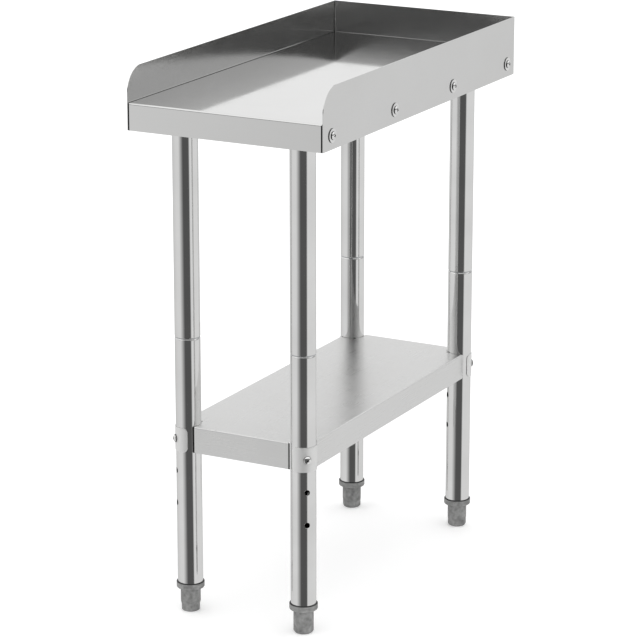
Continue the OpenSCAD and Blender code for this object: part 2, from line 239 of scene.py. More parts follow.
class Paint:
    """A node-based material under construction: a Principled shader and helpers to feed it."""

    def __init__(self, name, metallic=0.0, roughness=0.5, colour=(0.5, 0.5, 0.5)):
        self.material = bpy.data.materials.new(name)
        self.material.use_nodes = True
        self.tree = self.material.node_tree
        self.bsdf = self.tree.nodes["Principled BSDF"]
        self.bsdf.inputs["Metallic"].default_value = metallic
        self.bsdf.inputs["Roughness"].default_value = roughness
        self.bsdf.inputs["Base Color"].default_value = (*colour, 1)
        self.place = node(self.tree, "ShaderNodeTexCoord").outputs["Object"]
        self.bumps = None

    def stretched(self, scale):
        mapping = node(self.tree, "ShaderNodeMapping", vector_type="POINT")
        mapping.inputs["Scale"].default_value = scale
        link(self.tree, self.place, mapping.inputs["Vector"])
        return mapping.outputs[0]

    def noise(self, scale, detail=3.0, stretch=None):
        made = node(self.tree, "ShaderNodeTexNoise", Detail=detail, Scale=scale)
        link(self.tree, self.stretched(stretch) if stretch else self.place, made.inputs["Vector"])
        return made.outputs["Fac"]

    def cells(self, scale):
        made = node(self.tree, "ShaderNodeTexVoronoi", Scale=scale)
        link(self.tree, self.place, made.inputs["Vector"])
        return made.outputs["Color"]

    def spread(self, source, low, high, start=0.3, stop=0.7):
        """source, which lies mostly between start and stop, stretched to low to high."""
        made = node(self.tree, "ShaderNodeMapRange")
        for key, value in (("From Min", start), ("From Max", stop), ("To Min", low), ("To Max", high)):
            made.inputs[key].default_value = value
        link(self.tree, source, made.inputs["Value"])
        return made.outputs[0]

    def calculate(self, operation, first, second):
        made = node(self.tree, "ShaderNodeMath", operation=operation)
        for place, value in enumerate((first, second)):
            if isinstance(value, (int, float)):
                made.inputs[place].default_value = value
            else:
                link(self.tree, value, made.inputs[place])
        return made.outputs[0]

    def blend(self, factor, first, second):
        made = node(self.tree, "ShaderNodeMix", data_type="FLOAT")
        link(self.tree, factor, made.inputs[0])
        link(self.tree, first, made.inputs[2])
        link(self.tree, second, made.inputs[3])
        return made.outputs[0]

    def colour(self, factor, dark, light, painted_shade=None):
        """Base colour from dark to light over factor, going to near-black painted shade where the shade mask
        is 1.
        """
        made = node(self.tree, "ShaderNodeMix", data_type="RGBA")
        link(self.tree, factor, made.inputs[0])
        made.inputs[6].default_value = (*dark, 1)
        made.inputs[7].default_value = (*light, 1)
        if painted_shade is not None:
            over = node(self.tree, "ShaderNodeMix", data_type="RGBA")
            link(self.tree, painted_shade, over.inputs[0])
            link(self.tree, made.outputs[2], over.inputs[6])
            # near-black painted shade for crevices, slots and ledges where shade falls
            over.inputs[7].default_value = (0.03, 0.03, 0.03, 1)
            made = over
        link(self.tree, made.outputs[2], self.bsdf.inputs["Base Color"])

    def roughness(self, source):
        link(self.tree, source, self.bsdf.inputs["Roughness"])

    def metallic(self, source):
        link(self.tree, source, self.bsdf.inputs["Metallic"])

    def bump(self, height, distance, strength=1.0):
        """Adds a layer of relief, distance deep in metres."""
        made = node(self.tree, "ShaderNodeBump", Strength=strength, Distance=distance)
        link(self.tree, height, made.inputs["Height"])
        if self.bumps is not None:
            link(self.tree, self.bumps, made.inputs["Normal"])
        self.bumps = made.outputs[0]
        link(self.tree, self.bumps, self.bsdf.inputs["Normal"])

    def bow(self, level, lean, over):
        """Leans the surface upwards, from none at a level to lean degrees at a height over it."""
        split = node(self.tree, "ShaderNodeSeparateXYZ")
        link(self.tree, self.place, split.inputs[0])
        rise = self.calculate("SUBTRACT", split.outputs["Z"], level)
        square = self.calculate("MULTIPLY", rise, rise)
        depth = self.calculate("MULTIPLY", square, -math.radians(lean) / (2 * over))
        self.bump(depth, 1.0)

    def past(self, axis, edge, soft, mirrored=True):
        """0 up to edge along an axis, 1 past edge + soft; mirrored does it at both ends."""
        split = node(self.tree, "ShaderNodeSeparateXYZ")
        link(self.tree, self.place, split.inputs[0])
        reach = split.outputs[axis]
        if mirrored:
            reach = self.calculate("ABSOLUTE", reach, 0.0)
        return self.spread(reach, 0.0, 1.0, edge, edge + soft)

    def facing_y(self):
        """1 where the surface faces the short ends, 0 elsewhere."""
        split = node(self.tree, "ShaderNodeSeparateXYZ")
        link(self.tree, node(self.tree, "ShaderNodeNewGeometry").outputs["Normal"], split.inputs[0])
        size = self.calculate("ABSOLUTE", split.outputs["Y"], 0.0)
        return self.calculate("GREATER_THAN", size, 0.7)


GRAIN = 3200       # grain lines per metre across
GRAIN_ALONG = 24   # and along


def satin_sheet(name, polish, satin, tone=0.70, along_x=False, bow=0, seam_shade=None, rubbed=None):
    """Stainless sheet with a fine grain along its length. Roughness runs from polish to satin over the grain.
    A seam function makes, from the paint, the share of near-black painted shade in the sheet's crevices and
    slots, and rubbed the places that forming has left dull and whitish."""
    paint = Paint(name, metallic=1.0)
    fine = (GRAIN_ALONG, GRAIN, GRAIN) if along_x else (GRAIN, GRAIN_ALONG, GRAIN)
    grain = paint.noise(1.0, detail=4.0, stretch=fine)
    if not along_x:
        level = paint.noise(1.0, detail=4.0, stretch=(GRAIN_ALONG, GRAIN, GRAIN))
        grain = paint.blend(paint.facing_y(), grain, level)
    blotch = paint.noise(7.0, detail=5.0)
    smear = paint.noise(26.0, detail=4.0)
    rough = paint.calculate("ADD", paint.spread(grain, polish, satin), paint.spread(smear, -0.01, 0.02))
    if rubbed:
        dull = rubbed(paint)
        rough = paint.calculate("ADD", rough, paint.calculate("MULTIPLY", dull, 0.24))
        paint.metallic(paint.spread(dull, 1.0, 0.68, 0.0, 1.0))
    paint.roughness(rough)
    mixed = paint.calculate("ADD", paint.spread(grain, 0.0, 0.4), paint.spread(blotch, 0.0, 0.6))
    dark = (tone * 0.975, tone * 0.975, tone * 0.965)
    light = (tone * 1.025, tone * 1.025, tone * 1.02)
    # the seam function's mask paints near-black shade into crevices and slots
    paint.colour(mixed, dark, light, seam_shade(paint) if seam_shade else None)
    paint.bump(grain, 0.0002 * MM, 0.5)
    paint.bump(blotch, 0.3 * MM, 0.2)
    if bow > 0:
        low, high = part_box("splash_rear")
        paint.bow((low.z + high.z) / 2, bow, (high.z - low.z) / 2)
    return paint.material


def worktop_seam_shade(paint):
    """Painted shade: near-black lines where the worktop runs under the plates, in the crevices at the sides
    and the rear.
    """
    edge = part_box("worktop")[1]
    below = paint.spread(paint.past("Z", edge.z - 1.5 * MM, 0.5 * MM), 1.0, 0.0, 0.0, 1.0)
    sides = paint.calculate("MULTIPLY", below, paint.past("X", edge.x - 2.6 * MM, 0.4 * MM))
    sides = paint.calculate("MAXIMUM", sides, paint.past("X", edge.x - 1.7 * MM, 0.4 * MM))
    rear = paint.past("Y", edge.y - 2.4 * MM, 0.8 * MM, mirrored=False)
    return paint.calculate("MAXIMUM", sides, paint.calculate("MULTIPLY", rear, 0.7))


SHELF_NOTCH = Vector((80, 274.5)) * MM      # corner where the shelf's end skirt stops short of the tab


def shelf_slot_shade(paint):
    """Painted shade: near-black slots at the corners, between the end skirts and the tabs, and a near-black
    line along the tabs' top edges.
    """
    start = paint.past("X", SHELF_NOTCH.x - 1.6 * MM, 0.3 * MM)
    stop = paint.past("X", SHELF_NOTCH.x + 1.3 * MM, 0.3 * MM)
    end = paint.past("Y", SHELF_NOTCH.y - 0.5 * MM, 0.3 * MM)
    # painted shade: near-black slots between the end skirts and the tabs
    slots = paint.calculate("MULTIPLY", paint.calculate("SUBTRACT", start, stop), end)
    # painted shadow line along the tabs' top edges
    crest = paint.past("Z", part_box("shelf")[1].z - 1.2 * MM, 0.3 * MM)
    return paint.calculate("MAXIMUM", slots, paint.calculate("MULTIPLY", crest, shelf_tabs(paint)))


def shelf_tabs(paint):
    """The tabs, which are rolled round the legs."""
    beyond_x = paint.past("X", SHELF_NOTCH.x + 1.3 * MM, 0.3 * MM)
    beyond_y = paint.past("Y", SHELF_NOTCH.y - 30 * MM, 0.3 * MM)
    return paint.calculate("MULTIPLY", beyond_x, beyond_y)


def polished_tube():
    """Mirror-polished stainless tube: faint drawing lines along it and a few duller patches."""
    paint = Paint("polished_tube", metallic=1.0)
    lines = paint.noise(1.0, detail=3.0, stretch=(900, 900, 2))
    patch = paint.noise(16.0, detail=4.0)
    rough = paint.calculate("ADD", paint.spread(lines, 0.035, 0.075), paint.spread(patch, 0.0, 0.03))
    paint.roughness(rough)
    paint.colour(paint.spread(patch, 0.0, 1.0), (0.74, 0.74, 0.735), (0.80, 0.80, 0.795))
    paint.bump(lines, 0.004 * MM, 0.35)
    return paint.material


def bright_fastener():
    """Bright stainless of the screws, washers and nuts, with turning marks and small scuffs."""
    paint = Paint("bright_fastener", metallic=1.0)
    scuff = paint.noise(900.0, detail=5.0)
    stain = paint.noise(160.0, detail=3.0)
    paint.roughness(paint.spread(scuff, 0.05, 0.14))
    paint.colour(paint.spread(stain, 0.0, 1.0), (0.74, 0.74, 0.74), (0.88, 0.88, 0.87))
    paint.bump(scuff, 0.01 * MM, 0.3)
    return paint.material


def recess_shade():
    """Near-black painted shade in a screw's recess and on the steep rims of heads and washers, dull and
    mottled.
    """
    paint = Paint("recess_shade", metallic=0.6)
    shade_mottle = paint.noise(1100.0, detail=4.0)
    paint.roughness(paint.spread(shade_mottle, 0.45, 0.7))
    paint.colour(paint.spread(shade_mottle, 0.0, 1.0), (0.008, 0.008, 0.008), (0.04, 0.04, 0.038))
    paint.bump(shade_mottle, 0.02 * MM, 0.4)
    return paint.material


def galvanised():
    """Galvanised steel under the worktop, dull with faint spangle."""
    paint = Paint("galvanised", metallic=1.0)
    spangle = paint.cells(180.0)
    dust = paint.noise(60.0, detail=6.0)
    paint.roughness(paint.calculate("ADD", paint.spread(spangle, 0.28, 0.42, 0.0, 1.0),
                                    paint.spread(dust, -0.03, 0.08)))
    paint.colour(paint.calculate("MULTIPLY", spangle, dust), (0.46, 0.47, 0.48), (0.66, 0.67, 0.68))
    paint.bump(dust, 0.05 * MM, 0.4)
    return paint.material


def foot_plastic():
    """Grey moulded plastic, matt and mottled, with scuffs, and near-black painted shade on the ledge round
    the tube.
    """
    paint = Paint("foot_plastic")
    # painted shade: the collar's top, where the tube stands in it, goes near black
    ledge = paint.past("Z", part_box("leg_lower_fl")[0].z - 0.9 * MM, 0.3 * MM)
    mottle = paint.noise(150.0, detail=6.0)
    clouds = paint.noise(45.0, detail=3.0)
    pits = paint.noise(1500.0, detail=3.0)
    both = paint.calculate("ADD", paint.spread(mottle, 0.0, 0.6), paint.spread(clouds, 0.0, 0.4))
    paint.colour(both, (0.10, 0.101, 0.10), (0.32, 0.321, 0.316), ledge)
    paint.roughness(paint.spread(mottle, 0.45, 0.68))
    paint.bump(pits, 0.06 * MM, 0.5)
    paint.bump(mottle, 0.12 * MM, 0.4)
    return paint.material


def zinc_stem():
    """Zinc-plated threaded rod."""
    paint = Paint("zinc_stem", metallic=1.0)
    film = paint.noise(220.0, detail=5.0)
    paint.roughness(paint.spread(film, 0.2, 0.36))
    paint.colour(paint.spread(film, 0.0, 1.0), (0.52, 0.53, 0.54), (0.70, 0.71, 0.71))
    paint.bump(film, 0.03 * MM, 0.4)
    return paint.material


# ---------------------------------------------------------------------------
# Mesh tools
# ---------------------------------------------------------------------------

class Shape:
    """Points and faces that several copies of a form are collected in."""

    def __init__(self):
        self.points = []
        self.faces = []
        self.shade_faces = set()     # faces that take the piece's second material, near-black painted shade

    def ring(self, points):
        start = len(self.points)
        self.points.extend(points)
        return list(range(start, len(self.points)))

    def join(self, first, second):
        """A band of quads between two closed rings of the same length."""
        count = len(first)
        for i in range(count):
            j = (i + 1) % count
            self.faces.append((first[i], first[j], second[j], second[i]))

    def cap(self, ring):
        self.faces.append(tuple(ring))

    def placed(self, matrix):
        moved = Shape()
        moved.points = [matrix @ Vector(p) for p in self.points]
        moved.faces = list(self.faces)
        moved.shade_faces = set(self.shade_faces)
        return moved

    def add(self, other):
        start = len(self.points)
        self.shade_faces.update(i + len(self.faces) for i in other.shade_faces)
        self.points.extend(other.points)
        self.faces.extend(tuple(i + start for i in face) for face in other.faces)


def circle(radius, height, columns):
    """A level ring. radius is a number, or a function of the angle."""
    points = []
    for i in range(columns):
        angle = 2 * math.pi * i / columns
        r = radius(angle) if callable(radius) else radius
        points.append(Vector((r * math.cos(angle), r * math.sin(angle), height)))
    return points


def turned(profile, columns, shade_band=None):
    """A form turned about Z from a closed profile of (radius, height) points; a radius may be a function."""
    shape = Shape()
    rings = [shape.ring(circle(r, z, columns)) for r, z in profile]
    for band, (first, second) in enumerate(zip(rings, rings[1:] + rings[:1])):
        # the chosen band takes the second material, near-black painted shade
        if band == shade_band:
            shape.shade_faces.update(range(len(shape.faces), len(shape.faces) + columns))
        shape.join(first, second)
    return shape


def turned_solid(profile, columns):
    """The same with a profile that starts and ends on the axis, closed by two caps."""
    shape = Shape()
    rings = [shape.ring(circle(r, z, columns)) for r, z in profile]
    for first, second in zip(rings, rings[1:]):
        shape.join(first, second)
    shape.cap(rings[0][::-1])
    shape.cap(rings[-1])
    return shape


def arc(centre_r, centre_z, radius, start, stop, steps):
    """Points on a quarter round or similar, angles in degrees in the (radius, height) plane."""
    return [(centre_r + radius * math.cos(math.radians(start + (stop - start) * i / steps)),
             centre_z + radius * math.sin(math.radians(start + (stop - start) * i / steps)))
            for i in range(steps + 1)]


def build(name, shape, material, smooth_angle=35, second=None):
    """A mesh object from a shape, with outward faces and sharp edges only where the form has them."""
    mesh = bpy.data.meshes.new(name)
    bm = bmesh.new()
    verts = [bm.verts.new(p) for p in shape.points]
    for index, face in enumerate(shape.faces):
        made = bm.faces.new([verts[i] for i in face])
        # faces marked for shade take the second material, near-black painted shade
        made.material_index = 1 if index in shape.shade_faces else 0
    bmesh.ops.recalc_face_normals(bm, faces=bm.faces)
    bm.to_mesh(mesh)
    bm.free()
    mesh.materials.append(material)
    if second is not None:
        mesh.materials.append(second)
    mesh.polygons.foreach_set("use_smooth", [True] * len(mesh.polygons))
    mesh.set_sharp_from_angle(angle=math.radians(smooth_angle))
    piece = bpy.data.objects.new(name, mesh)
    bpy.context.scene.collection.objects.link(piece)
    return piece


def settle(piece, body, slot, *replaced):
    """Rides a piece on its body and hides the CAD nodes that it stands for."""
    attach(piece, body)
    if replaced:
        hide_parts(*replaced)
    return piece


# ---------------------------------------------------------------------------
# Tubes
# ---------------------------------------------------------------------------

TUBE_COLUMNS = 96
HOLE_CELLS = 10         # a hole's square patch is this many cells each way
TUBE_WALL = 1.2 * MM
TUBE_EDGE = 0.6 * MM    # rounding outside at a tube's ends
TUBE_LIP = 0.2 * MM     # and inside
TUBE_HOLD = 0.4 * MM    # a narrow band at each end that keeps the rounding's shading off the wall
SPIGOT_CONE = 2.2 * MM  # height of the cone that leads the lower tube into the joint
SPIGOT_DEPTH = 1.0 * MM
HOLE_RADIUS = 4.25 * MM
HOLE_PITCH = 50 * MM     # the shelf can stand this much lower, or twice as much


def wall(shape, radius, low, high, holes, inward):
    """One wall of a tube, with round holes at (column, height). Returns its end rings and the rims."""
    step = 2 * math.pi / TUBE_COLUMNS
    half = HOLE_CELLS // 2
    cell = radius * step
    heights = [low, low + TUBE_HOLD]
    spans = []
    for column, height in sorted(holes, key=lambda h: h[1]):
        rows = [height + (k - half) * cell for k in range(HOLE_CELLS + 1)]
        if not spans or abs(height - spans[-1][2]) > cell:
            first = len(heights)
            heights.extend(rows)
        spans.append((column, first, height))
    heights.extend([high - TUBE_HOLD, high])
    rings = [shape.ring(circle(radius, z, TUBE_COLUMNS)) for z in heights]
    taken = set()
    rims = {}
    for column, first, height in spans:
        for i in range(HOLE_CELLS):
            for j in range(HOLE_CELLS):
                taken.add((first + i, (column - half + j) % TUBE_COLUMNS))
        edge = [(first, column - half + j) for j in range(HOLE_CELLS)]
        edge += [(first + i, column + half) for i in range(HOLE_CELLS)]
        edge += [(first + HOLE_CELLS, column + half - j) for j in range(HOLE_CELLS)]
        edge += [(first + HOLE_CELLS - i, column - half) for i in range(HOLE_CELLS)]
        outer = [rings[i][j % TUBE_COLUMNS] for i, j in edge]
        flat = [((j - column) * step, heights[i] - height) for i, j in edge]
        loops = [outer]
        for share in (0.45, 0.8, 0.94, 1.0):
            points = []
            for turn, rise in flat:
                way = math.atan2(rise, turn * radius)
                across = math.asin(HOLE_RADIUS * math.cos(way) / radius)
                up = HOLE_RADIUS * math.sin(way)
                angle = column * step + turn + (across - turn) * share
                z = height + rise + (up - rise) * share
                sunk = radius - inward * (0.12 * MM if share == 1.0 else 0.0)
                points.append(Vector((sunk * math.cos(angle), sunk * math.sin(angle), z)))
            loops.append(shape.ring(points))
        for a, b in zip(loops, loops[1:]):
            shape.join(a, b)
        rims[(column, round(height, 6))] = loops[-1]
    for i in range(len(rings) - 1):
        for j in range(TUBE_COLUMNS):
            if (i, j) not in taken:
                k = (j + 1) % TUBE_COLUMNS
                shape.faces.append((rings[i][j], rings[i][k], rings[i + 1][k], rings[i + 1][j]))
    return rings[0], rings[-1], rims


def rounded_end(outer_r, inner_r, base, way):
    """The end of a tube wall at height base, from outside to inside; way is 1 at the top and -1 below."""
    edge, lip = TUBE_EDGE, TUBE_LIP
    profile = arc(outer_r - edge, base - way * edge, edge, 0, 90 * way, 6)
    return profile + arc(inner_r + lip, base - way * lip, lip, 90 * way, 180 * way, 3)


def coned_end(outer_r, inner_r, base):
    """The upper end of a lower tube: a cone outside, then the lip."""
    crest = outer_r - SPIGOT_DEPTH
    profile = [(outer_r, base - SPIGOT_CONE), (outer_r - 0.04 * MM, base - SPIGOT_CONE + 0.2 * MM)]
    profile += [(crest + 0.04 * MM, base - 0.2 * MM), (crest - 0.05 * MM, base)]
    return profile + arc(inner_r + TUBE_LIP / 2, base - TUBE_LIP / 2, TUBE_LIP / 2, 90, 180, 3)


def tube(name, cad_node, corner, heights, material):
    """A leg tube over its CAD node's length, cross-drilled at the given heights."""
    low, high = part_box(cad_node)
    outer_r = (high.x - low.x) / 2
    inner_r = outer_r - TUBE_WALL
    shape = Shape()
    holes = [(column, z) for z in heights for column in (0, TUBE_COLUMNS // 2)]
    below = rounded_end(outer_r, inner_r, low.z, -1)
    above = coned_end(outer_r, inner_r, high.z) if heights else rounded_end(outer_r, inner_r, high.z, 1)
    foot, top, rims = wall(shape, outer_r, below[0][1], above[0][1], holes, 1)
    inner_foot, inner_top, inner_rims = wall(shape, inner_r, below[-1][1], above[-1][1], holes, -1)
    for key, rim in rims.items():
        shape.join(rim, inner_rims[key])
    for outside, inside, profile in ((foot, inner_foot, below), (top, inner_top, above)):
        loops = [outside, *(shape.ring(circle(r, z, TUBE_COLUMNS)) for r, z in profile[1:-1]), inside]
        for first, second in zip(loops, loops[1:]):
            shape.join(first, second)
    spot = centre(cad_node)
    turn = Matrix.Rotation(math.radians(DIAGONAL[corner]), 4, "Z")
    placed = shape.placed(Matrix.Translation((spot.x, spot.y, 0)) @ turn)
    return settle(build(name, placed, material), "table", "polished_tube", cad_node)


# ---------------------------------------------------------------------------
# Screws, washers and nuts
# ---------------------------------------------------------------------------

M6 = 6 * MM


def thread(diameter, pitch, low, high, columns=24, depth=0.61):
    """A threaded length of rod about Z: a helical ridge that fades in and out at its ends."""
    shape = Shape()
    crest, root = diameter / 2, diameter / 2 - depth * pitch
    # share of the pitch, and how far out of the root it stands
    form = ((0.0, 0.0), (0.12, 0.0), (0.5, 1.0), (0.62, 1.0))
    turns = (high - low) / pitch
    steps = int(turns * columns)
    rows = []
    for i in range(steps + 1):
        angle = 2 * math.pi * i / columns
        base = low + pitch * i / columns
        fade = min(1.0, i / columns, (steps - i) / columns)
        row = []
        for share, out in form:
            r = root + (crest - root) * out * fade
            z = min(max(base + (share - 0.5) * pitch, low), high)
            row.append(Vector((r * math.cos(angle), r * math.sin(angle), z)))
        rows.append(shape.ring(row))
    for a, b in zip(rows, rows[1:]):
        for k in range(len(form) - 1):
            shape.faces.append((a[k], b[k], b[k + 1], a[k + 1]))
    for i in range(len(rows) - columns - 1):
        a, b = rows[i], rows[i + 1]
        c, d = rows[i + columns], rows[i + columns + 1]
        shape.faces.append((a[-1], b[-1], d[0], c[0]))
    return shape


def rod(diameter, low, high, columns=24):
    """A plain rod with a small chamfer at each end."""
    r = diameter / 2
    bevel = 0.12 * diameter
    return turned_solid([(r - bevel, low), (r, low + bevel), (r, high - bevel), (r - bevel, high)], columns)


def cross_cutter(width, length, depth, top):
    """A cross with tapered arms and a round well in the middle, for cutting a recess from a height of top."""
    cutters = Shape()
    for turn in (0, 90):
        arm = Shape()
        for z, w, l in ((top - depth, 0.5 * width, 0.45 * length), (top + 0.5 * MM, width, length)):
            arm.ring([Vector((l / 2, w / 2, z)), Vector((-l / 2, w / 2, z)),
                      Vector((-l / 2, -w / 2, z)), Vector((l / 2, -w / 2, z))])
        arm.join([0, 1, 2, 3], [4, 5, 6, 7])
        arm.cap([3, 2, 1, 0])
        arm.cap([4, 5, 6, 7])
        cutters.add(arm.placed(Matrix.Rotation(math.radians(turn), 4, "Z")))
    well = turned_solid([(0.2 * width, top - 1.3 * depth), (0.75 * width, top - depth),
                         (1.15 * width, top + 0.5 * MM)], 16)
    cutters.add(well)
    return cutters


def cut(shape, cutters, rim_radius):
    """The shape less the cutters. The walls of the cut, and the head's steep rim, take near-black painted
    shade.
    """
    head = build("head_blank", shape, None)
    outside = [p.normal.copy() for p in head.data.polygons]
    cutter = build("cross_cutter", cutters, None)
    tool = head.modifiers.new("cut", "BOOLEAN")
    tool.object, tool.operation, tool.solver, tool.use_self = cutter, "DIFFERENCE", "EXACT", True
    bpy.context.view_layer.update()
    result = head.evaluated_get(bpy.context.evaluated_depsgraph_get()).to_mesh()
    done = Shape()
    done.points = [v.co.copy() for v in result.vertices]
    for polygon in result.polygons:
        uncovered = min((polygon.normal - normal).length for normal in outside) > 0.001
        on_rim = polygon.center.xy.length > rim_radius
        if polygon.center.z > 0.1 * MM and (uncovered or on_rim):
            done.shade_faces.add(len(done.faces))
        done.faces.append(tuple(polygon.vertices))
    for made in (head, cutter):
        bpy.data.objects.remove(made)
    return done


def pan_screw(length):
    """M6 pan head screw along +Z: underside of the head at z = 0, shank below."""
    head_r, rim, height, lean = 6.25 * MM, 1.3 * MM, 3.6 * MM, 0.4 * MM
    dome = ((head_r - lean) ** 2 + (height - rim) ** 2) / (2 * (height - rim))
    sweep = math.degrees(math.asin((head_r - lean) / dome))
    crown = [(r, z) for r, z in arc(0, height - dome, dome, 90 - sweep, 89.5, 12)]
    profile = [(M6 / 2, 0), (head_r - 0.2 * MM, 0), (head_r, 0.2 * MM), *crown]
    blank = turned_solid(profile, 48)
    screw = cut(blank, cross_cutter(1.4 * MM, 6.4 * MM, 2.0 * MM, height), head_r - lean)
    screw.add(rod(M6 - 0.8 * MM, -length, 0.2 * MM))
    screw.add(thread(M6, 1 * MM, -length + 0.4 * MM, -0.6 * MM))
    return screw


def washer():
    """Flat wide M6 washer along +Z, its inner face at z = 0, with a steep pressed rim that takes near-black
    painted shade.
    """
    low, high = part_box("splash_washers_rear")
    inner, outer, thick, lean = 3.3 * MM, (high.z - low.z) / 2, 1.2 * MM, 0.25 * MM
    profile = [(outer - 0.15 * MM, 0), (outer, 0.15 * MM), (outer - lean, thick - 0.05 * MM),
               (outer - lean - 0.15 * MM, thick), (inner + 0.15 * MM, thick), (inner, thick - 0.15 * MM),
               (inner, 0.15 * MM), (inner + 0.15 * MM, 0)]
    return turned(profile, 48, shade_band=1)


def hexagon(across_flats, limit):
    """Radius of a hexagon as a function of the angle, cut off at limit."""
    def radius(angle):
        local = (angle + math.pi / 6) % (math.pi / 3) - math.pi / 6
        return min(across_flats / 2 / math.cos(local), limit)
    return radius


def nut():
    """M6 nut along -Z, its bearing face at z = 0, chamfered at both faces."""
    flats, height, bore = 10 * MM, 5 * MM, 3.05 * MM
    corner = flats / 2 / math.cos(math.pi / 6)
    profile = [(hexagon(flats, flats / 2 * 0.97), 0), (hexagon(flats, flats / 2 * 1.03), -0.25 * MM),
               (hexagon(flats, corner), -0.8 * MM), (hexagon(flats, corner), -height + 0.8 * MM),
               (hexagon(flats, flats / 2 * 1.03), -height + 0.25 * MM),
               (hexagon(flats, flats / 2 * 0.97), -height), (bore + 0.5 * MM, -height),
               (bore, -height + 0.5 * MM), (bore, -0.5 * MM), (bore + 0.5 * MM, 0)]
    return turned(profile, 48)


def spread_out(low, high, size, count):
    """The middles of count equal things whose box runs from low to high."""
    first, last = low + size / 2, high - size / 2
    return [first + (last - first) * i / (count - 1) for i in range(count)]


def facing(direction):
    """Turns +Z to a level direction."""
    return Vector(direction).to_track_quat("Z", "Y").to_matrix().to_4x4()


def fasteners(name, form, spots, slot_material, *replaced):
    """One piece with a copy of form at each spot of (point, outward direction, roll in degrees)."""
    whole = Shape()
    for point, direction, roll in spots:
        matrix = Matrix.Translation(point) @ facing(direction) @ Matrix.Rotation(math.radians(roll), 4, "Z")
        whole.add(form.placed(matrix))
    # the second material is the near-black painted shade of recesses and rims
    return settle(build(name, whole, slot_material, second=recess_shade_metal), "table", "fastener", *replaced)


def splash_fasteners(material):
    head = 12.5 * MM
    screw = pan_screw(16 * MM)
    for side, sign in (("left", -1), ("right", 1)):
        low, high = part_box(f"splash_screws_{side}")
        z = (low.z + high.z) / 2
        ys = spread_out(low.y, high.y, head, 4)
        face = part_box(f"splash_{side}")
        x = (face[1] if sign > 0 else face[0]).x
        out = (sign, 0, 0)
        rolls = (18, 64, 41, 8)
        washers = [(Vector((x, y, z)), out, 0) for y in ys]
        heads = [(Vector((x + sign * 1.2 * MM, y, z)), out, roll) for y, roll in zip(ys, rolls)]
        inside = [(Vector((x - sign * 2 * MM, y, z)), out, roll) for y, roll in zip(ys, rolls)]
        fasteners(f"side_screws_{side}", screw, heads, material, f"splash_screws_{side}")
        fasteners(f"side_washers_{side}", washer(), washers, material, f"splash_washers_{side}")
        fasteners(f"side_nuts_{side}", nut(), inside, material, f"splash_nuts_{side}")
    low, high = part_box("splash_screws_rear")
    z = (low.z + high.z) / 2
    xs = spread_out(low.x, high.x, head, 3)
    flange_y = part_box("splash_left")[1].y
    plate_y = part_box("splash_rear")[1].y
    inner_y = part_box("worktop")[1].y - 1 * MM
    ys = (flange_y, plate_y, flange_y)
    out = (0, 1, 0)
    rolls = (33, 5, 71)
    heads = [(Vector((x, y + 1.2 * MM, z)), out, roll) for x, y, roll in zip(xs, ys, rolls)]
    fasteners("rear_screws", screw, heads, material, "splash_screws_rear")
    fasteners("rear_washers", washer(), [(Vector((x, y, z)), out, 0) for x, y in zip(xs, ys)],
              material, "splash_washers_rear")
    fasteners("rear_nuts", nut(), [(Vector((x, inner_y, z)), out, r) for x, r in zip(xs, rolls)],
              material, "splash_nuts_rear")


def shelf_fasteners(material):
    z = centre("shelf_screws").z
    screw = pan_screw(50 * MM)
    heads, washers, nuts = [], [], []
    for corner, roll in zip(CORNERS, (12, 50, 30, 75)):
        spot = centre(f"leg_lower_{corner}")
        low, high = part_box(f"leg_lower_{corner}")
        angle = math.radians(DIAGONAL[corner])
        out = Vector((math.cos(angle), math.sin(angle), 0))
        axis = Vector((spot.x, spot.y, z))
        radius = (high.x - low.x) / 2
        heads.append((axis + out * (radius + 1.1 * MM), out, roll))
        washers.append((axis - out * (radius + 1.2 * MM), out, 0))
        nuts.append((axis - out * (radius + 1.2 * MM), out, roll))
    fasteners("tab_screws", screw, heads, material, "shelf_screws")
    fasteners("tab_washers", washer(), washers, material, "shelf_washers")
    fasteners("tab_nuts", nut(), nuts, material, "shelf_nuts")


# ---------------------------------------------------------------------------
# Feet
# ---------------------------------------------------------------------------

STEM_RADIUS = 6 * MM
BORE_RADIUS = 6.05 * MM
HEX_HEIGHT = 14 * MM
HEX_FLATS = 27 * MM


def foot_insert(corner, material):
    """The moulded plug with its collar: soft edges, and a faint parting line under the rim."""
    low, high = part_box(f"foot_insert_{corner}")
    collar_r = (high.x - low.x) / 2
    tube_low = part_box(f"leg_lower_{corner}")[0].z
    plug_r = 17.75 * MM
    soft = 1.0 * MM
    z0, z1, z2 = low.z, tube_low, high.z
    profile = [(BORE_RADIUS, z0 + 0.3 * MM), (BORE_RADIUS + 0.3 * MM, z0)]
    profile += arc(collar_r - 1.6 * MM, z0 + 1.6 * MM, 1.6 * MM, -90, 0, 5)
    middle = (z0 + z1) / 2 - 0.8 * MM
    profile += [(collar_r, middle - 0.35 * MM), (collar_r - 0.2 * MM, middle), (collar_r, middle + 0.35 * MM)]
    profile += arc(collar_r - soft, z1 - soft, soft, 0, 90, 4)
    profile += [(plug_r, z1)]
    ribs = 4
    for k in range(ribs):
        z = z1 + (z2 - z1) * (k + 0.6) / (ribs + 0.6)
        profile += [(plug_r - 0.5 * MM, z - 1.2 * MM), (plug_r, z), (plug_r - 0.5 * MM, z + 0.3 * MM)]
    profile += [(plug_r - 1.5 * MM, z2), (BORE_RADIUS + 0.3 * MM, z2), (BORE_RADIUS, z2 - 0.3 * MM)]
    spot = centre(f"foot_insert_{corner}")
    shape = turned(profile, 64).placed(Matrix.Translation((spot.x, spot.y, 0)))
    settle(build(f"collar_{corner}", shape, material), "table", "foot_plastic", f"foot_insert_{corner}")


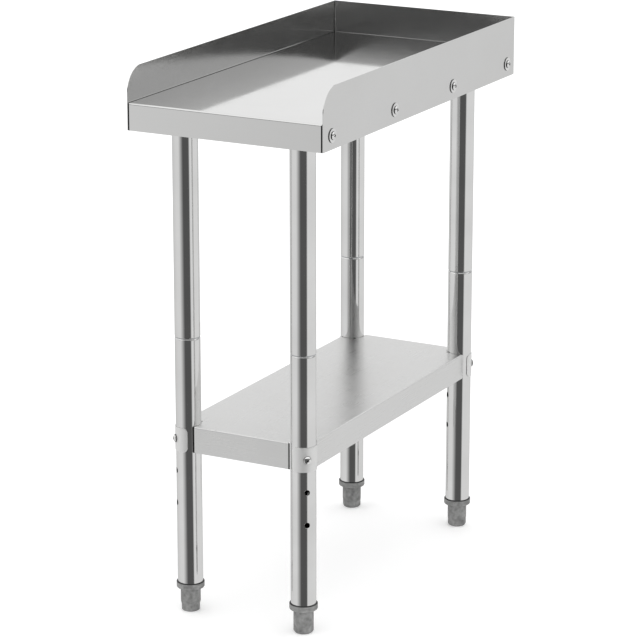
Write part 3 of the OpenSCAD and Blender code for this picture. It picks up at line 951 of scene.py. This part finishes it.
def barrel(corner, material):
    """The foot barrel: round above, six flats below that die out in arches, a chamfer at the floor."""
    name = f"foot_barrel_{corner}"
    low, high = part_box(name)
    radius = (high.x - low.x) / 2
    top = high.z
    spot = centre(name)
    face_r = HEX_FLATS / 2 - 1 * MM
    turn = math.radians(BARREL_TURN[corner] - 30)

    def outline(z, limit):
        """Radius at height z: flats up to the hexagon's height, then leaning out to the round part."""
        lean = max(0.0, z - (HEX_HEIGHT - 3.2 * MM)) * 0.42
        flats = HEX_FLATS + 2 * lean

        def at(angle):
            local = (angle - turn) % (math.pi / 3) - math.pi / 6
            flat = flats / 2 / math.cos(local)
            # the smaller of flat and round, eased where they meet
            ease = 0.35 * MM
            gap = max(0.0, ease - abs(flat - limit))
            return min(flat, limit) - gap * gap / (4 * ease)
        return at

    heights = [0.0, 0.35, 1.0, 1.8, 2.5, 3.2, 6.0, 9.0, 10.8, 11.6, 12.4, 13.2, 14.0, 14.8, 15.6, 16.8]
    profile = [(face_r - 0.4 * MM, 0.0)]
    for mm in heights:
        z = mm * MM
        profile.append((outline(z, min(radius, face_r + z)), z))
    profile += [(radius, z * MM) for z in (19, 24, 30)]
    soft = 1.2 * MM
    profile += arc(radius - soft, top - soft, soft, 0, 90, 5)
    floor_z = 11.7 * MM
    profile += [(BORE_RADIUS + 0.4 * MM, top), (BORE_RADIUS, top - 0.4 * MM), (BORE_RADIUS, floor_z),
                (0.5 * MM, floor_z)]
    shape = turned_solid(profile, 120).placed(Matrix.Translation((spot.x, spot.y, 0)))
    settle(build(f"barrel_{corner}_moulded", shape, material, 40), f"barrel_{corner}", "foot_plastic", name)


def stem(corner, material):
    """The M12 stem with its thread."""
    name = f"foot_stem_{corner}"
    low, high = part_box(name)
    spot = centre(name)
    pitch = 1.75 * MM
    shape = rod(2 * STEM_RADIUS - 1.3 * pitch, low.z, high.z, 32)
    shape.add(thread(2 * STEM_RADIUS, pitch, low.z + 0.5 * MM, high.z - 1 * MM, 32))
    placed = shape.placed(Matrix.Translation((spot.x, spot.y, 0)))
    settle(build(f"stem_{corner}_threaded", placed, material), f"stem_{corner}", "stem", name)


# ---------------------------------------------------------------------------
# Nodes that keep their CAD shape
# ---------------------------------------------------------------------------

def finish_node(name, material):
    """Gives a CAD node its material."""
    item = nodes[name]
    item.data.materials.clear()
    item.data.materials.append(material)


add_camera()
add_studio()
add_floor()
# the worktop and shelf get near-black painted shade in their crevices, corner slots and tab edges
top_sheet = satin_sheet("satin_worktop", 0.04, 0.08, seam_shade=worktop_seam_shade)
shelf_sheet = satin_sheet("satin_shelf", 0.26, 0.32, tone=0.76, seam_shade=shelf_slot_shade, rubbed=shelf_tabs)
long_sheet = satin_sheet("satin_plate", 0.12, 0.17, bow=3)
cross_sheet = satin_sheet("satin_rear_plate", 0.12, 0.17, along_x=True, bow=3)
tube_metal = polished_tube()
bolt_metal = bright_fastener()
# near-black painted shade for screw recesses and the rims of heads and washers
recess_shade_metal = recess_shade()
under_metal = galvanised()
plastic = foot_plastic()
stem_metal = zinc_stem()

finish_node("worktop", top_sheet)
finish_node("shelf", shelf_sheet)
finish_node("splash_left", long_sheet)
finish_node("splash_right", long_sheet)
finish_node("splash_rear", cross_sheet)
for name in ("channel_left", "channel_right", "shelf_stiffener"):
    finish_node(name, under_metal)
finish_node("socket_grub_screws", bolt_metal)
tab_z = centre("shelf_screws").z
for corner in CORNERS:
    finish_node(f"leg_socket_{corner}", under_metal)
    finish_node(f"leg_coupler_{corner}", under_metal)
    tube(f"upper_tube_{corner}", f"leg_upper_{corner}", corner, [], tube_metal)
    tube(f"lower_tube_{corner}", f"leg_lower_{corner}", corner,
         [tab_z - 2 * HOLE_PITCH, tab_z - HOLE_PITCH, tab_z], tube_metal)
    foot_insert(corner, plastic)
    barrel(corner, plastic)
    stem(corner, stem_metal)
splash_fasteners(bolt_metal)
shelf_fasteners(bolt_metal)
